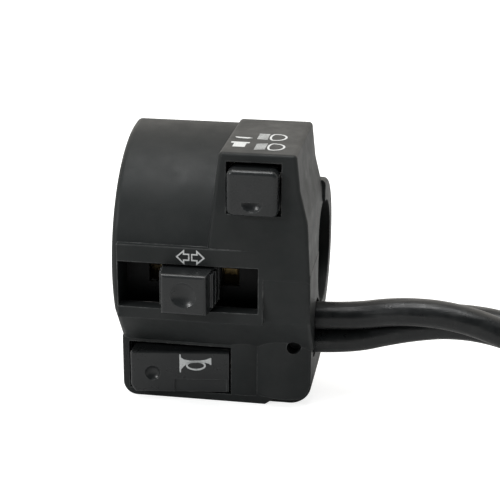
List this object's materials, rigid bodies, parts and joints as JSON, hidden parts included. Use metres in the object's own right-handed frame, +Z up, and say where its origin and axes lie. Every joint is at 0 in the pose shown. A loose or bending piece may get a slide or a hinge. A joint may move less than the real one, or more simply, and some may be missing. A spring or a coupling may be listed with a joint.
{
  "type": "handlebar switch cluster",
  "caption": "Clamp-on switch housing for the left side of a motorcycle handlebar, with a beam dimmer button, a sliding turn signal knob, a horn paddle and a sleeved cable harness.",
  "frame": {"origin": "on the axis of the handlebar bore, near the middle of its length", "axes": "+X along the handlebar towards the cable end, -Y towards the rider, +Z up"},
  "size_m": [0.1798, 0.0772, 0.0571],
  "materials": {
    "shell_plastic": "satin moulded ABS, fine texture",
    "button_plastic": "satin moulded acetal, smoother than the shells",
    "slider_plastic": "dark glass-filled nylon",
    "insulator": "tan phenolic board",
    "switch_nylon": "natural nylon",
    "brass": "stamped brass, lightly tarnished",
    "zinc_steel": "zinc-plated steel",
    "spring_steel": "drawn spring wire",
    "sleeve_vinyl": "smooth PVC sleeve, semi-gloss",
    "seal_rubber": "moulded rubber",
    "connector_nylon": "milky white nylon",
    "tie_nylon": "black nylon"
  },
  "bodies": {
    "housing": {"front_shell": "shell_plastic", "rear_shell": "shell_plastic", "shell_screws": "zinc_steel", "turn_guide_plate": "slider_plastic", "turn_contact_board": "insulator", "turn_fixed_contacts": "brass", "dimmer_case": "switch_nylon", "dimmer_terminals": "brass", "dimmer_spring": "spring_steel", "dimmer_latch_wire": "spring_steel", "horn_pivot_pin": "zinc_steel", "horn_base": "insulator", "horn_spring": "spring_steel", "horn_contact_leaf": "brass", "horn_fixed_contact": "brass", "earth_leaf": "brass", "cable_grommet": "seal_rubber", "cable_clamp": "zinc_steel", "clamp_screw": "zinc_steel", "coil_tie": "tie_nylon", "sleeve_front": "sleeve_vinyl", "coil_front": "sleeve_vinyl", "connector_front": "connector_nylon", "connector_pins_front": "brass", "sleeve_lower": "sleeve_vinyl", "coil_lower": "sleeve_vinyl", "connector_lower": "connector_nylon", "connector_pins_lower": "brass", "sleeve_upper": "sleeve_vinyl", "coil_upper": "sleeve_vinyl", "connector_upper": "connector_nylon", "connector_pins_upper": "brass"},
    "turn_slider": {"turn_carriage": "slider_plastic", "turn_contact_bridge": "brass", "turn_detent_ball": "spring_steel", "turn_detent_spring": "spring_steel", "turn_cancel_spring": "spring_steel"},
    "turn_push": {"turn_knob": "button_plastic"},
    "dimmer_push": {"dimmer_button": "button_plastic", "dimmer_contact": "brass"},
    "horn_paddle": {"horn_button": "button_plastic"}
  },
  "joints": [
    {"name": "turn_slide", "type": "slide", "parent": "housing", "child": "turn_slider", "axis": [1, 0, 0], "range_m": [-0.0065, 0.0065]},
    {"name": "turn_cancel_push", "type": "slide", "parent": "turn_slider", "child": "turn_push", "axis": [0, 1, 0], "range_m": [0, 0.0014], "stiffness_N_per_m": 300, "springref_m": -0.0015, "deforming": ["turn_cancel_spring"]},
    {"name": "dimmer_press", "type": "slide", "parent": "housing", "child": "dimmer_push", "axis": [0, 1, 0], "range_m": [0, 0.0028], "stiffness_N_per_m": 400, "springref_m": -0.002, "deforming": ["dimmer_spring"]},
    {"name": "horn_press", "type": "hinge", "parent": "housing", "child": "horn_paddle", "pos_m": [0.0013, -0.0136, -0.02165], "axis": [0, 0, -1], "range_deg": [0, 7], "stiffness_Nm_per_rad": 0.08, "springref_deg": -6.88, "deforming": ["horn_spring"]}
  ]
}
